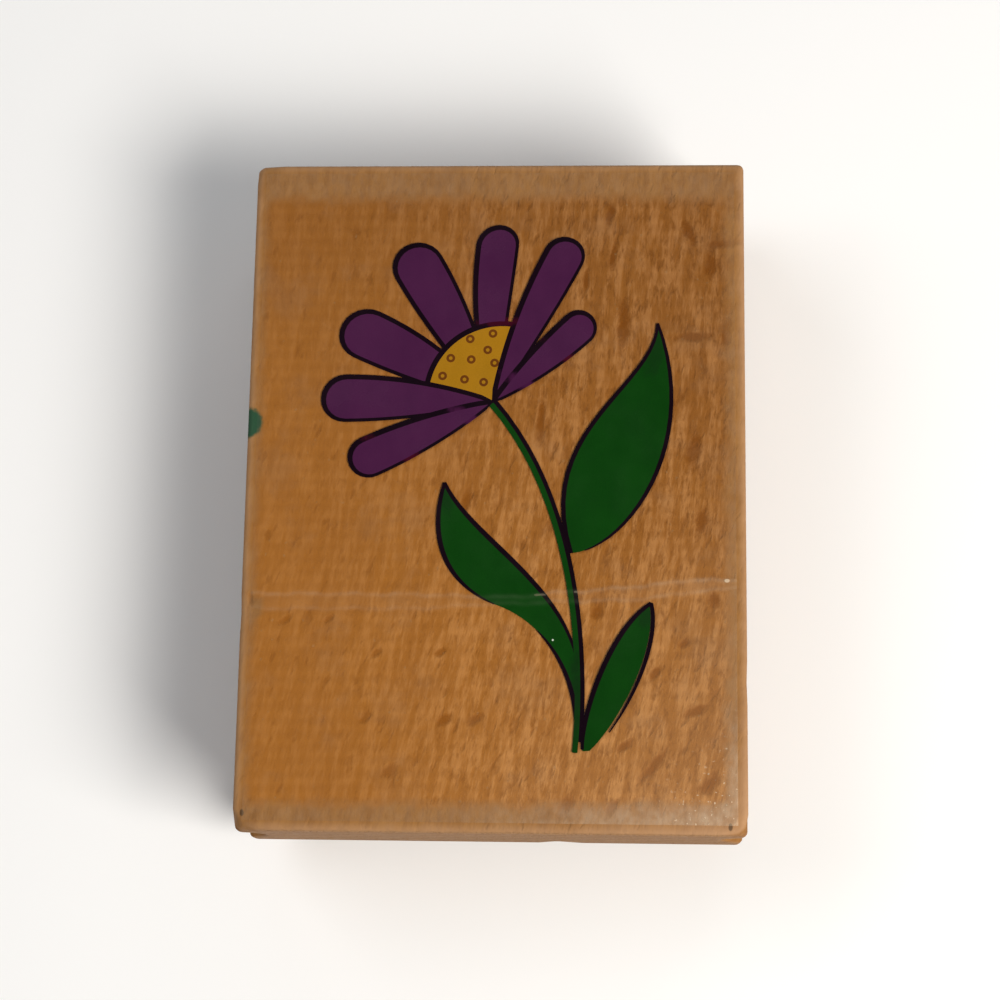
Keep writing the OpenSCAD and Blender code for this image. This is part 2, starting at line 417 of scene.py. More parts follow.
def make_label_adhesive():
    glue = sheet_from("label_glue", BOND_LOW, BOND_HIGH, BOND_HIGH.z - HAIR)
    open_edit(glue)
    for y in spaced(BOND_LOW.y, BOND_HIGH.y, GLUE_ROWS)[1:-1]:
        cut((0, y, 0), (0, 1, 0))
    for x in spaced(BOND_LOW.x, BOND_HIGH.x, GLUE_COLUMNS)[1:-1]:
        cut((x, 0, 0), (1, 0, 0))
    bpy.ops.mesh.select_all(action="SELECT")
    bpy.ops.mesh.region_to_loop()
    bpy.ops.transform.vertex_random(offset=GLUE_RAGGED, uniform=1, normal=0, seed=4)
    bpy.ops.mesh.select_all(action="SELECT")
    bpy.ops.transform.resize(
        value=(1, 1, 0), center_override=(0, 0, BOND_HIGH.z - HAIR))
    close_edit()
    take_modifier(glue, "SOLIDIFY", thickness=BOND_HIGH.z - BOND_LOW.z - 2 * HAIR, offset=-1)
    finish_piece(glue, clear_glue(), "block", "label_adhesive", "label_adhesive")


# ---- Printed flower ----

def print_piece(node, film, ink, slot):
    """One patch of ink: the face of its CAD shape, laid over the film with its fold."""
    layer = copy_of(node, node.replace("print", "ink"))
    face_only(layer, lambda f: f.normal.z > 0.5)
    open_edit(layer)
    cut_fold_rows()
    close_edit()
    take_modifier(
        layer, "SHRINKWRAP", target=film, wrap_method="PROJECT", use_project_z=True,
        use_negative_direction=True, use_positive_direction=True, offset=HAIR)
    low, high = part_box(node)
    take_modifier(layer, "SOLIDIFY", thickness=high.z - low.z - HAIR, offset=1)
    mark_fold(layer)
    finish_piece(layer, ink, "block", slot, node)


def print_flower(film):
    purple, green = purple_ink(), green_ink()
    for node in PETALS:
        print_piece(node, film, purple, "purple_ink")
    for node in ["stem_print", *LEAVES]:
        print_piece(node, film, green, "green_ink")
    print_piece("centre_print", film, yellow_ink(), "yellow_ink")
    print_piece("ring_print", film, brown_ink(), "brown_ink")
    print_piece("outline_print", film, dark_ink(), "dark_ink")


# ---- Cushion and rubber die ----

def outline_sheet(name, height):
    """The outline that the foam and the rubber are trimmed to, as one flat sheet."""
    sheet = copy_of("die_adhesive", name)
    face_only(sheet, lambda f: f.normal.z > 0.5)
    open_edit(sheet)
    bpy.ops.mesh.dissolve_limited(angle_limit=math.radians(1))
    bpy.ops.mesh.select_all(action="SELECT")
    bpy.ops.transform.translate(value=(0, 0, height - SHEET_TOP))
    close_edit()
    return sheet


def raise_sheet(sheet, thickness, levels):
    """Gives a flat sheet its thickness upwards, with cuts at the levels between."""
    open_edit(sheet)
    bpy.ops.mesh.extrude_region_move(TRANSFORM_OT_translate={"value": (0, 0, thickness)})
    for z in levels:
        cut((0, 0, z), (0, 0, 1))
    bpy.ops.mesh.select_all(action="SELECT")
    bpy.ops.mesh.normals_make_consistent(inside=False)
    close_edit()


def make_foam():
    foam = outline_sheet("foam_cushion_pad", FOAM_LOW.z)
    thickness = FOAM_HIGH.z - FOAM_LOW.z
    levels = spaced(FOAM_LOW.z, FOAM_HIGH.z, FOAM_LAYERS)[1:-1]
    raise_sheet(foam, thickness, levels)
    middle = (FOAM_LOW.z + FOAM_HIGH.z) / 2
    open_edit(foam)
    for z in levels:
        swell = FOAM_SWELL * (1 - ((z - middle) / (thickness / 2)) ** 2)
        choose_points(foam, lambda p: abs(p.z - z) < HAIR)
        bpy.ops.transform.shrink_fatten(value=swell)
    close_edit()
    soften(foam, 50)
    finish_piece(foam, cushion_foam(), "block", "foam", "foam_cushion")
    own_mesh(foam)


def raised_lines(node, name):
    """The lines of a CAD print as moulded rubber ridges, wider at the foot than at the face."""
    lines = copy_of(node, name)
    face_only(lines, lambda f: f.normal.z > 0.5)
    foot = DIE_LOW.z + RELIEF + RIDGE_ROOT
    open_edit(lines)
    bpy.ops.transform.translate(value=(0, 0, DIE_LOW.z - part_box(node)[1].z))
    bpy.ops.mesh.extrude_region_move(
        TRANSFORM_OT_translate={"value": (0, 0, RELIEF + RIDGE_ROOT)})
    bpy.ops.mesh.select_all(action="SELECT")
    bpy.ops.mesh.normals_make_consistent(inside=False)
    choose_points(lines, lambda p: p.z > foot - RELIEF / 2)
    bpy.ops.transform.shrink_fatten(value=RIDGE_SPREAD)
    bpy.ops.transform.resize(value=(1, 1, 0), center_override=(0, 0, foot))
    close_edit()
    return lines


def make_die():
    sheet = outline_sheet("rubber_die_moulding", DIE_LOW.z + RELIEF)
    raise_sheet(sheet, DIE_HIGH.z - DIE_LOW.z - RELIEF, [])
    lines = raised_lines("outline_print", "die_lines")
    rings = raised_lines("ring_print", "die_rings")
    pick(lines)
    rings.select_set(True)
    bpy.ops.object.join()
    take_modifier(
        sheet, "BOOLEAN", operation="UNION", object=lines, solver="EXACT", use_self=True)
    pick(lines)
    bpy.ops.object.delete()
    soften(sheet, 30)
    finish_piece(sheet, moulded_rubber(), "die", "rubber", "rubber_die")


def finish_tapes():
    tape = mounting_tape()
    for node in ("cushion_adhesive", "die_adhesive"):
        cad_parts[node].data.materials.clear()
        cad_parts[node].data.materials.append(tape)


# ---- Node helpers ----

def put(tree, kind, feeds=None, **settings):
    """Adds a node. feeds gives each input a value or the output that feeds it."""
    node = tree.nodes.new("ShaderNode" + kind)
    for name, value in settings.items():
        setattr(node, name, value)
    for name, source in (feeds or {}).items():
        if isinstance(source, bpy.types.NodeSocket):
            tree.links.new(source, node.inputs[name])
        else:
            node.inputs[name].default_value = source
    return node


def maths(tree, operation, *values, clamp=False):
    return put(tree, "Math", dict(enumerate(values)), operation=operation, use_clamp=clamp).outputs[0]


def step_between(tree, value, low, high, out_low=0.0, out_high=1.0):
    """0 below low and 1 above high, with a smooth step between."""
    feeds = {"Value": value, "From Min": low, "From Max": high, "To Min": out_low, "To Max": out_high}
    return put(tree, "MapRange", feeds, interpolation_type="SMOOTHSTEP").outputs[0]


def mixed(tree, share, first, second, blend="MIX"):
    return put(
        tree, "Mix", {0: share, 6: first, 7: second}, data_type="RGBA", blend_type=blend).outputs[2]


def noise(tree, where, stretch, detail=3.0, rough=0.55, turn=0.0, shift=(0, 0, 0)):
    """Noise on a stretched and turned copy of the coordinates."""
    turned = put(tree, "Mapping", {"Vector": where, "Rotation": (0, 0, math.radians(turn)),
                                   "Location": shift})
    spread = put(tree, "Mapping", {"Vector": turned.outputs[0], "Scale": stretch})
    feeds = {"Vector": spread.outputs[0], "Scale": 1.0, "Detail": detail, "Roughness": rough}
    return put(tree, "TexNoise", feeds).outputs[0]


def in_millimetres(tree):
    """Object coordinates, counted in millimetres."""
    place = put(tree, "TexCoord").outputs["Object"]
    return put(tree, "Mapping", {"Vector": place, "Scale": (1000, 1000, 1000)}).outputs[0]


def new_group(name, inputs, outputs):
    tree = bpy.data.node_groups.new(name, "ShaderNodeTree")
    for label, kind, value in inputs:
        socket = tree.interface.new_socket(label, in_out="INPUT", socket_type="NodeSocket" + kind)
        if value is not None:
            socket.default_value = value
    for label, kind in outputs:
        tree.interface.new_socket(label, in_out="OUTPUT", socket_type="NodeSocket" + kind)
    return tree, tree.nodes.new("NodeGroupInput").outputs, tree.nodes.new("NodeGroupOutput").inputs


def new_finish(name):
    material = bpy.data.materials.new(name)
    material.use_nodes = True
    tree = material.node_tree
    return material, tree, tree.nodes["Principled BSDF"]


# ---- Effects that several finishes share ----

def build_figure():
    """Hardwood figure: long fibres along Y, short cells across them, and broad tone."""
    tree, given, made = new_group(
        "wood_figure", [("Place", "Vector", None), ("Lean", "Float", 0.0)],
        [("Fibres", "Float"), ("Cells", "Float"), ("Flecks", "Float"), ("Tone", "Float")])
    turned = put(tree, "VectorRotate", {"Vector": given["Place"], "Angle": given["Lean"]},
                 rotation_type="Z_AXIS").outputs[0]
    fibres = noise(tree, turned, (0.95, 0.17, 0.95), 4.0, 0.68)
    tree.links.new(fibres, made["Fibres"])
    cells = noise(tree, turned, (1.5, 0.5, 1.5), 4.0, 0.72, shift=(7, 3, 0))
    tree.links.new(cells, made["Cells"])
    flecks = noise(tree, turned, (0.8, 0.3, 0.8), 2.0, 0.55, turn=12, shift=(3, 11, 0))
    tree.links.new(step_between(tree, flecks, 0.58, 0.72), made["Flecks"])
    tree.links.new(noise(tree, turned, (0.09, 0.04, 0.09), 3.0, 0.6), made["Tone"])
    return tree


def build_fleck():
    """One dark fleck of the wood, as a mask: where it is, its half size and how it leans."""
    tree, given, made = new_group(
        "wood_fleck",
        [("Place", "Vector", None), ("Rough", "Float", 0.5), ("Middle", "Vector", None),
         ("Half Size", "Vector", None), ("Lean", "Float", 0.0)],
        [("Mask", "Float")])
    away = put(tree, "VectorMath", {0: given["Place"], 1: given["Middle"]}, operation="SUBTRACT")
    turned = put(tree, "VectorRotate", {"Vector": away.outputs[0], "Angle": given["Lean"]},
                 rotation_type="Z_AXIS")
    scaled = put(tree, "VectorMath", {0: turned.outputs[0], 1: given["Half Size"]}, operation="DIVIDE")
    length = put(tree, "VectorMath", {0: scaled.outputs[0]}, operation="LENGTH").outputs["Value"]
    uneven = maths(tree, "MULTIPLY_ADD", given["Rough"], 1.5, length)
    tree.links.new(step_between(tree, uneven, 1.1, 2.1, 1.0, 0.0), made["Mask"])
    return tree


def build_handling():
    """Marks of use: a soft greasy cloud and fine scratches, both as masks."""
    tree, given, made = new_group(
        "handling_marks", [("Place", "Vector", None)], [("Cloud", "Float"), ("Scratches", "Float")])
    tree.links.new(noise(tree, given["Place"], (0.12, 0.12, 0.12), 4.0, 0.6), made["Cloud"])
    thin = noise(tree, given["Place"], (0.2, 9, 9), 1.0, 0.4, turn=33)
    other = noise(tree, given["Place"], (0.16, 8, 8), 1.0, 0.4, turn=-61, shift=(4, 4, 0))
    lines = maths(tree, "MAXIMUM", thin, other)
    tree.links.new(step_between(tree, lines, 0.72, 0.78), made["Scratches"])
    return tree


def build_drape():
    """How the film and what is printed on it ripple, as a height for bump."""
    tree, given, made = new_group("film_drape", [("Place", "Vector", None)], [("Height", "Float")])
    slow = noise(tree, given["Place"], (0.16, 0.1, 0.16), 2.0)
    ripple = noise(tree, given["Place"], (0.9, 0.4, 0.9), 3.0, 0.6, turn=-20)
    peel = noise(tree, given["Place"], (3, 3, 3), 2.0)
    total = maths(tree, "MULTIPLY_ADD", ripple, 0.35, slow)
    tree.links.new(maths(tree, "MULTIPLY_ADD", peel, 0.06, total), made["Height"])
    return tree


def build_frame_mask():
    """1 inside a rectangle given by its middle and half size, with a soft, uneven edge."""
    tree, given, made = new_group(
        "rectangle_mask",
        [("Place", "Vector", None), ("Middle X", "Float", 0.0), ("Middle Y", "Float", 0.0),
         ("Half X", "Float", 1.0), ("Half Y", "Float", 1.0), ("Softness", "Float", 0.5),
         ("Wobble", "Float", 0.3)],
        [("Inside", "Float")])
    wander = maths(tree, "SUBTRACT", noise(tree, given["Place"], (0.35, 0.35, 0.35), 3.0), 0.5)
    shift = maths(tree, "MULTIPLY", wander, given["Wobble"])
    axes = put(tree, "SeparateXYZ", {0: given["Place"]}).outputs
    sides = []
    for axis, name in ((axes[0], "X"), (axes[1], "Y")):
        away = maths(tree, "ABSOLUTE", maths(tree, "SUBTRACT", axis, given["Middle " + name]))
        depth = maths(tree, "SUBTRACT", given["Half " + name], away)
        depth = maths(tree, "ADD", depth, shift)
        sides.append(step_between(tree, maths(tree, "DIVIDE", depth, given["Softness"]), -0.5, 0.5))
    tree.links.new(maths(tree, "MULTIPLY", *sides), made["Inside"])
    return tree


FIGURE = build_figure()
FLECK = build_fleck()
HANDLING = build_handling()
DRAPE = build_drape()
RECTANGLE = build_frame_mask()


def rectangle(tree, place, low, high, softness, wobble):
    middle, half = (low + high) / 2 / MM, (high - low) / 2 / MM
    feeds = {"Place": place, "Middle X": middle.x, "Middle Y": middle.y, "Half X": half.x,
             "Half Y": half.y, "Softness": softness, "Wobble": wobble}
    return put(tree, "Group", feeds, node_tree=RECTANGLE).outputs[0]


def patch(tree, place, x, y, z, reach, wander=0.0):
    """1 at a spot and 0 beyond its reach, in millimetres."""
    away = put(tree, "VectorMath", {0: place, 1: (x, y, z)}, operation="SUBTRACT").outputs[0]
    scaled = put(tree, "VectorMath", {0: away, 1: reach}, operation="DIVIDE").outputs[0]
    length = put(tree, "VectorMath", {0: scaled}, operation="LENGTH").outputs["Value"]
    if wander:
        rough = noise(tree, place, (0.9, 0.9, 0.9), 3.0)
        length = maths(tree, "MULTIPLY_ADD", rough, wander, length)
    return step_between(tree, length, 0.8, 1.05, 1.0, 0.0)


# ---- Finishes ----

# The larger flecks in the top face: X and Y of each in millimetres, half its width and
# length, and how many degrees it leans to the right from the grain
FLECKS = [
    (16.0, 40.0, 0.6, 1.8, 12), (16.4, 33.8, 0.54, 2.2, 8), (17.9, 23.6, 0.96, 3.7, 2),
    (27.1, 37.2, 0.84, 2, -24), (30.2, 32.6, 0.96, 2.2, 4), (32.2, 22.4, 0.72, 2.4, 0),
    (31.9, 35.6, 0.72, 2.9, 82), (27.8, 21.9, 0.72, 2.8, 88), (27.8, 5.6, 1.08, 2.9, 8),
    (28.8, -4.6, 0.96, 2.2, 12), (6.4, 9.8, 0.6, 3.5, 3), (-3.9, -2, 0.72, 2.2, 14),
    (14.4, -17.4, 0.72, 1.2, 30), (26.4, -21.6, 0.6, 1, 60), (22.3, -25.8, 0.6, 1.4, 42),
    (27.9, -30.9, 0.72, 1.7, 62), (18.4, -35.6, 0.6, 1.4, 50), (22.2, -38.3, 0.72, 3, 38),
    (29.8, -40.7, 0.96, 2.1, 38), (16.6, -44, 0.6, 1.5, 36), (10.3, -44, 0.84, 1.9, 32),
    (-6.2, -32.3, 0.72, 1.3, 55), (-1.9, -32.1, 0.66, 1.3, 50), (-22.6, -18.6, 0.48, 1, 55),
    (-28.6, -18.7, 0.54, 1.2, 60), (-13.5, -39.4, 0.84, 1.5, 60), (-15.8, -23.2, 0.48, 0.9, 50),
    (30.6, -15.6, 0.96, 1.2, 20), (-6.9, -23, 0.48, 0.9, 60), (24.3, 43.1, 0.72, 1.4, -10),
    (-33.5, -15.8, 0.36, 1, 0), (-16.9, -32, 0.6, 1.1, 45), (12.6, 30.2, 0.48, 1.8, 6),
]


def large_flecks(tree, place):
    rough = noise(tree, place, (1.1, 0.7, 1.1), 3.0, 0.65, turn=20)
    marks = 0.0
    for x, y, half_width, half_length, lean in FLECKS:
        feeds = {"Place": place, "Rough": rough, "Middle": (x, y, TOP_Z / MM),
                 "Half Size": (half_width, half_length, half_length), "Lean": math.radians(lean)}
        mark = put(tree, "Group", feeds, node_tree=FLECK).outputs[0]
        marks = maths(tree, "MAXIMUM", mark, marks)
    return marks


# The wood's colours: two tones and the marks in them, where it is dry, where the adhesive has
# wetted it, and on its end grain
DRY_TONES = (0.34, 0.16, 0.045, 1), (0.28, 0.124, 0.034, 1)
DRY_FIBRE = (0.2, 0.085, 0.026, 1)
DRY_CELL = (0.16, 0.065, 0.018, 1)
DRY_FLECK = (0.2, 0.07, 0.015, 1)
WET_TONES = (0.375, 0.138, 0.02, 1), (0.28, 0.097, 0.015, 1)
WET_FIBRE = (0.54, 0.24, 0.072, 1)
WET_CELL = (0.2, 0.062, 0.005, 1)
WET_SPOT = (0.2, 0.06, 0.005, 1)
WET_FLECK = (0.23, 0.066, 0.002, 1)
CHATTER_TONE = (0.24, 0.08, 0.01, 1)
# Painted light and shade laid over the wetted wood: brighter near, darker towards the far right corner
NEAR_PAINTED_LIGHT, FAR_PAINTED_SHADE = (1.09, 1.12, 1.1, 1), (0.78, 0.78, 0.8, 1)
END_TONES = (0.36, 0.2, 0.095, 1), (0.29, 0.15, 0.065, 1)
END_PORE = (0.19, 0.085, 0.03, 1)
WORN_TONE = (0.25, 0.14, 0.07, 1)
# Painted highlight along the rounded top edges
RIM_HIGHLIGHT = (0.5, 0.3, 0.17, 1)
# Painted light towards the near right corner
CORNER_LIGHT = (0.56, 0.34, 0.2, 1)
TEAL_SMUDGE = (0.012, 0.075, 0.04, 1)
DIRT = (0.03, 0.022, 0.015, 1)
DIRTY_SPOTS = (-33.6, -45.2), (32.5, -46.4)
SMUDGE_Y = 9.3


def stained(tree, mask, share, colour, stain):
    """The colour with the stain over it where the mask is, at the most by share."""
    return mixed(tree, maths(tree, "MULTIPLY", mask, share), colour, stain)


def dry_wood(tree, figure, fibres, cells, large):
    colour = mixed(tree, figure["Tone"], *DRY_TONES)
    colour = stained(tree, fibres, 0.45, colour, DRY_FIBRE)
    colour = stained(tree, cells, 0.3, colour, DRY_CELL)
    return stained(tree, large, 0.35, colour, DRY_FLECK)


def wetted_wood(tree, axes, figure, fibres, cells, large, lively, chatter):
    """Deeper in colour and livelier towards the right, with painted light and shade: brighter towards
    the near left and darker towards the far right corner.
    """
    colour = mixed(tree, figure["Tone"], *WET_TONES)
    colour = stained(tree, fibres, maths(tree, "MULTIPLY", lively, 0.75), colour, WET_FIBRE)
    colour = stained(tree, cells, maths(tree, "MULTIPLY", lively, 0.7), colour, WET_CELL)
    colour = stained(tree, figure["Flecks"], 0.4, colour, WET_SPOT)
    shown = step_between(tree, lively, 0.3, 1.0, 0.6, 0.95)
    colour = stained(tree, large, shown, colour, WET_FLECK)
    colour = stained(tree, chatter, 0.16, colour, CHATTER_TONE)
    # Painted light and shade: multiplied brighter towards the near left and darker towards the far
    # right corner
    across = maths(tree, "MULTIPLY_ADD", axes[0], 0.8, axes[1])
    tint = mixed(tree, step_between(tree, across, -40.0, 60.0), NEAR_PAINTED_LIGHT, FAR_PAINTED_SHADE)
    return mixed(tree, 1.0, colour, tint, blend="MULTIPLY")


def towards_near_right(tree, axes):
    """Grows towards the near right corner, faster along Y than along X."""
    return maths(tree, "SUBTRACT", maths(tree, "MULTIPLY", axes[0], 0.5), axes[1])


def painted_rim_and_corner_light(tree, place, axes, bonded, colour):
    """Paler along the top edges, a painted highlight, and painted light that grows towards the near
    right corner.
    """
    upper = step_between(tree, axes[2], TOP_Z / MM - 1.2, TOP_Z / MM - 0.3)
    inner = Vector((0.8, 0.8, 0)) * MM
    flat_part = rectangle(tree, place, BLOCK_LOW + inner, BLOCK_HIGH - inner, 1.8, 1.2)
    # A painted highlight along the rounded top edges
    rim_highlight = maths(tree, "MULTIPLY", maths(tree, "SUBTRACT", 1.0, flat_part), upper)
    colour = stained(tree, rim_highlight, 0.45, colour, RIM_HIGHLIGHT)
    # Painted light: paler towards the near right corner where the film is loose
    corner = step_between(tree, towards_near_right(tree, axes), 46.0, 70.0, 0.0, 0.4)
    corner_light = maths(tree, "MULTIPLY", corner, maths(tree, "SUBTRACT", 1.0, bonded))
    return stained(tree, corner_light, upper, colour, CORNER_LIGHT)


def end_grain(tree, place):
    """(pores, colour) of the two ends: growth rings with pores in them."""
    pores = noise(tree, place, (4, 4, 4), 2.0, 0.6)
    pores = maths(tree, "MULTIPLY", step_between(tree, pores, 0.5, 0.68), 0.6)
    rings = put(
        tree, "TexWave", {"Vector": place, "Scale": 0.09, "Distortion": 2.5, "Detail": 2.0,
                          "Detail Scale": 0.12}, bands_direction="Z").outputs["Fac"]
    colour = mixed(tree, pores, mixed(tree, rings, *END_TONES), END_PORE)
    return pores, colour


def stray_marks(tree, place, colour):
    """The smudge of ink on the left edge and the dirt at the near corners."""
    teal = patch(tree, place, BLOCK_LOW.x / MM, SMUDGE_Y, TOP_Z / MM, (2.9, 2.9, 3.5), 0.4)
    colour = stained(tree, teal, 0.95, colour, TEAL_SMUDGE)
    for x, y in DIRTY_SPOTS:
        spot = patch(tree, place, x, y, TOP_Z / MM, (0.45, 0.8, 1), 0.5)
        colour = stained(tree, spot, 0.7, colour, DIRT)
    return colour


def hardwood():
    material, tree, shader = new_finish("pale_hardwood")
    place = in_millimetres(tree)
    axes = put(tree, "SeparateXYZ", {0: place}).outputs
    lean = step_between(tree, axes[1], -46.0, 40.0, math.radians(10), math.radians(4))
    figure = put(tree, "Group", {"Place": place, "Lean": lean}, node_tree=FIGURE).outputs
    marks = put(tree, "Group", {"Place": place}, node_tree=HANDLING).outputs
    large = large_flecks(tree, place)
    fibres = step_between(tree, figure["Fibres"], 0.4, 0.66)
    cells = step_between(tree, figure["Cells"], 0.48, 0.7)
    lively = step_between(tree, axes[0], -30.0, 15.0, 0.3, 1.0)
    chatter = put(
        tree, "TexWave", {"Vector": place, "Scale": 0.17, "Distortion": 2.2, "Detail": 2.0,
                          "Detail Scale": 0.3}, bands_direction="Y").outputs["Fac"]

    bonded = rectangle(tree, place, BOND_LOW, BOND_HIGH, 2.2, 1.8)
    on_top = step_between(tree, axes[2], TOP_Z / MM - 0.05, TOP_Z / MM - 0.01)
    dry = dry_wood(tree, figure, fibres, cells, large)
    wet = wetted_wood(tree, axes, figure, fibres, cells, large, lively, chatter)
    colour = mixed(tree, maths(tree, "MULTIPLY", bonded, on_top), dry, wet)
    colour = painted_rim_and_corner_light(tree, place, axes, bonded, colour)
    at_end = step_between(
        tree, maths(tree, "ABSOLUTE", axes[1]), BLOCK_HIGH.y / MM - 0.3, BLOCK_HIGH.y / MM - 0.05)
    pores, end_colour = end_grain(tree, place)
    colour = mixed(tree, at_end, colour, end_colour)
    colour = stained(
        tree, step_between(tree, marks["Cloud"], 0.5, 0.7), 0.18, colour, WORN_TONE)
    tree.links.new(stray_marks(tree, place, colour), shader.inputs["Base Color"])
    rough = step_between(tree, figure["Fibres"], 0.3, 0.7, 0.5, 0.66)
    tree.links.new(rough, shader.inputs["Roughness"])
    shader.inputs["Specular IOR Level"].default_value = 0.05

    height = maths(tree, "MULTIPLY_ADD", figure["Flecks"], -0.5, figure["Fibres"])
    height = maths(tree, "MULTIPLY_ADD", figure["Cells"], -0.7, height)
    height = maths(tree, "MULTIPLY", height, step_between(tree, lively, 0.3, 1.0, 0.45, 1.0))
    height = maths(tree, "MULTIPLY_ADD", chatter, -0.2, height)
    height = maths(tree, "MULTIPLY_ADD", large, -0.8, height)
    height = maths(tree, "SUBTRACT", height, maths(tree, "MULTIPLY", pores, at_end))
    bump = put(tree, "Bump", {"Height": height, "Strength": 0.9, "Distance": 0.15 * MM})
    tree.links.new(bump.outputs[0], shader.inputs["Normal"])
    return material


# Film: its milky tint where it is loose or folded, how it bends light, and where a glint is painted at
# the end of the fold, as X and Y in millimetres
MILK = (0.86, 0.66, 0.45, 1)
FILM_IOR = 1.48
GLINT = 32.2, -12.9
GLUE_TINT = (0.6, 0.36, 0.15, 1)


def clear_film():
    """Clear gloss film: mirrors a little, and is milky where it is not bonded or is folded; the milk
    also paints highlights on the fold, at its end and in specks near the near right corner.
    """
    material, tree, milk = new_finish("clear_gloss_film")
    place = in_millimetres(tree)
    axes = put(tree, "SeparateXYZ", {0: place}).outputs
    marks = put(tree, "Group", {"Place": place}, node_tree=HANDLING).outputs
    drape = put(tree, "Group", {"Place": place}, node_tree=DRAPE).outputs[0]
    bump = put(tree, "Bump", {"Height": drape, "Strength": 0.3, "Distance": 0.08 * MM}).outputs[0]

    bonded = rectangle(tree, place, BOND_LOW, BOND_HIGH, 3.0, 2.0)
    loose = maths(tree, "SUBTRACT", 1.0, bonded)
    mottled = noise(tree, place, (0.8, 0.5, 0.8), 4.0, 0.65)
    corner = maths(tree, "SUBTRACT", axes[0], axes[1])
    foot = step_between(tree, towards_near_right(tree, axes), 40.0, 66.0, 1.0, 5.5)
    loose = maths(tree, "MULTIPLY", loose, foot)
    loose = maths(tree, "MULTIPLY", loose, step_between(tree, mottled, 0.3, 0.7, 0.01, 0.06))
    fold = put(tree, "Attribute", attribute_name="fold").outputs["Fac"]
    # The fold's milk: stress whitening, and partly a painted highlight on the ridges
    crease_whitening_and_highlight = maths(tree, "MULTIPLY", fold, 0.13)
    towards_corner = step_between(tree, corner, 20.0, 85.0, 0.0, 0.07)
    # Painted highlight specks near the near right corner, laid in as milk
    highlight_specks = noise(tree, place, (2.4, 2.4, 2.4), 1.0, 0.3, shift=(9, 2, 0))
    near_foot = step_between(tree, corner, 60.0, 76.0)
    highlight_specks = maths(tree, "MULTIPLY", step_between(tree, highlight_specks, 0.7, 0.76), near_foot)
    # A painted glint at the end of the fold, laid in as milk
    glint = patch(tree, place, *GLINT, FILM_HIGH.z / MM, (0.5, 0.35, 1), 0.4)
    milk_and_painted_highlights = maths(tree, "MAXIMUM", loose, crease_whitening_and_highlight)
    milk_and_painted_highlights = maths(tree, "ADD", milk_and_painted_highlights, towards_corner)
    milk_and_painted_highlights = maths(tree, "MULTIPLY_ADD", highlight_specks, 0.5, milk_and_painted_highlights)
    milk_and_painted_highlights = maths(tree, "MULTIPLY_ADD", glint, 0.5, milk_and_painted_highlights)
    milk_and_painted_highlights = maths(tree, "MULTIPLY_ADD", marks["Scratches"], 0.04, milk_and_painted_highlights, clamp=True)

    milk.inputs["Base Color"].default_value = MILK
    milk.inputs["Roughness"].default_value = 0.3
    tree.links.new(bump, milk.inputs["Normal"])
    clear = put(tree, "BsdfTransparent")
    gloss_rough = step_between(tree, marks["Cloud"], 0.3, 0.7, 0.1, 0.22)
    gloss = put(tree, "BsdfGlossy", {"Roughness": gloss_rough, "Normal": bump})
    outer_side = maths(tree, "SUBTRACT", 1.0, put(tree, "NewGeometry").outputs["Backfacing"])
    fresnel = put(tree, "Fresnel", {"IOR": FILM_IOR, "Normal": bump}).outputs[0]
    mirror = maths(tree, "MULTIPLY", fresnel, outer_side)
    milk_and_painted_highlights = maths(tree, "MULTIPLY", milk_and_painted_highlights, outer_side)
    film = put(tree, "MixShader", {0: mirror, 1: clear.outputs[0], 2: gloss.outputs[0]})
    mix = put(tree, "MixShader", {0: milk_and_painted_highlights, 1: film.outputs[0], 2: milk.outputs[0]})
    tree.links.new(mix.outputs[0], tree.nodes["Material Output"].inputs["Surface"])
    return material


def clear_glue():
    """Clear adhesive: nearly invisible, with a few pale trapped bubbles."""
    material, tree, shader = new_finish("clear_label_glue")
    place = in_millimetres(tree)
    bubbles = step_between(tree, noise(tree, place, (1.4, 1.1, 1.4), 2.0, 0.4), 0.7, 0.76, 0.004, 0.1)
    shader.inputs["Base Color"].default_value = GLUE_TINT
    shader.inputs["Roughness"].default_value = 0.4
    tree.links.new(bubbles, shader.inputs["Alpha"])
    return material


# Inks: the deep and the light tone of each
PURPLE = (0.05, 0.0075, 0.042, 1), (0.062, 0.0105, 0.05, 1)
GREEN = (0.0012, 0.034, 0.001, 1), (0.0025, 0.045, 0.0018, 1)
YELLOW = (0.3, 0.14, 0.004, 1), (0.36, 0.165, 0.006, 1)
BROWN = (0.1, 0.028, 0.002, 1), (0.14, 0.04, 0.003, 1)
DARK = (0.004, 0.0008, 0.003, 1), (0.008, 0.002, 0.006, 1)
# Whitening and a painted highlight where the fold crosses the inks
FOLD_WHITENING_AND_HIGHLIGHT = (0.5, 0.62, 0.4, 1)
GREEN_SHADE = (0.003, 0.02, 0.003, 1)
WHITE_SPECK = (0.7, 0.75, 0.65, 1)
VIOLET = (0.05, 0.007, 0.04, 1)
CRIMSON = (0.055, 0.002, 0.012, 1)

# Where another colour shows in the green and in the outline: X and Y, half its width and length
# in millimetres, how many degrees it leans, the colour and its share
GREEN_PATCHES = [
    (11.6, -29, 1.1, 7, 2, GREEN_SHADE, 0.75), (22.3, 19.5, 1.6, 3.4, 5, GREEN_SHADE, 0.5),
    (21.2, -18, 1, 1.6, 20, GREEN_SHADE, 0.5), (-6.6, -1.5, 0.9, 2.2, -8, GREEN_SHADE, 0.5),
    (8.4, -21.3, 0.14, 0.14, 0, WHITE_SPECK, 1),
]
OUTLINE_PATCHES = [
    (5, 14.6, 4.6, 1, 25, VIOLET, 0.95), (10.5, 18.4, 4.2, 0.9, 40, CRIMSON, 0.85),
    (-3.6, 9.9, 3.6, 1, 30, VIOLET, 0.95), (-12, 4.4, 7, 1, 25, CRIMSON, 0.75),
    (0.4, 24, 3.2, 0.7, 0, CRIMSON, 0.7), (-20.6, 12.2, 2.6, 0.9, -20, CRIMSON, 0.4),
]


